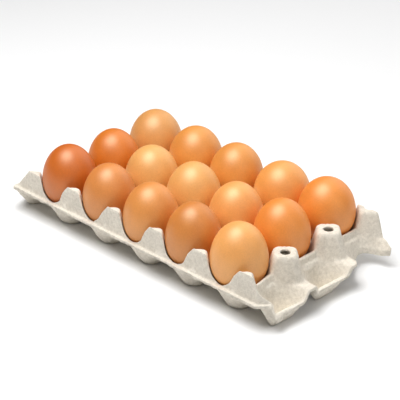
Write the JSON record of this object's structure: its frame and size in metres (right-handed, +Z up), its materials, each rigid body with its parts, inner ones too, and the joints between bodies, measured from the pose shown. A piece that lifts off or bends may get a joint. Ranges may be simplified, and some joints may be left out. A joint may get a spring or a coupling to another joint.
{
  "type": "egg tray with eggs",
  "caption": "Half of a moulded pulp egg tray, with posts, ribs, a flange and a cut edge, filled with brown hen's eggs standing upright in its pockets.",
  "frame": {"origin": "on the surface that the tray rests on, below the middle of the whole object's box", "axes": "+Z up; +X along the long side, towards the end with the torn partial pocket; +Y from the flanged long side to the cut edge at the back"},
  "size_m": [0.2914, 0.1464, 0.0668],
  "materials": {
    "pulp": "matte moulded pulp, warm light grey, with fibres and specks",
    "shell_tan": "satin eggshell, tan orange, finely mottled",
    "shell_brown": "satin eggshell, deep orange brown, finely mottled"
  },
  "bodies": {
    "root": {"tray": "pulp", "egg_row1_column1": "shell_brown", "egg_row1_column2": "shell_tan", "egg_row1_column3": "shell_tan", "egg_row1_column4": "shell_tan", "egg_row1_column5": "shell_tan", "egg_row2_column1": "shell_brown", "egg_row2_column2": "shell_tan", "egg_row2_column3": "shell_tan", "egg_row2_column4": "shell_tan", "egg_row2_column5": "shell_tan", "egg_row3_column1": "shell_tan", "egg_row3_column2": "shell_tan", "egg_row3_column3": "shell_tan", "egg_row3_column4": "shell_tan", "egg_row3_column5": "shell_tan"}
  },
  "joints": []
}
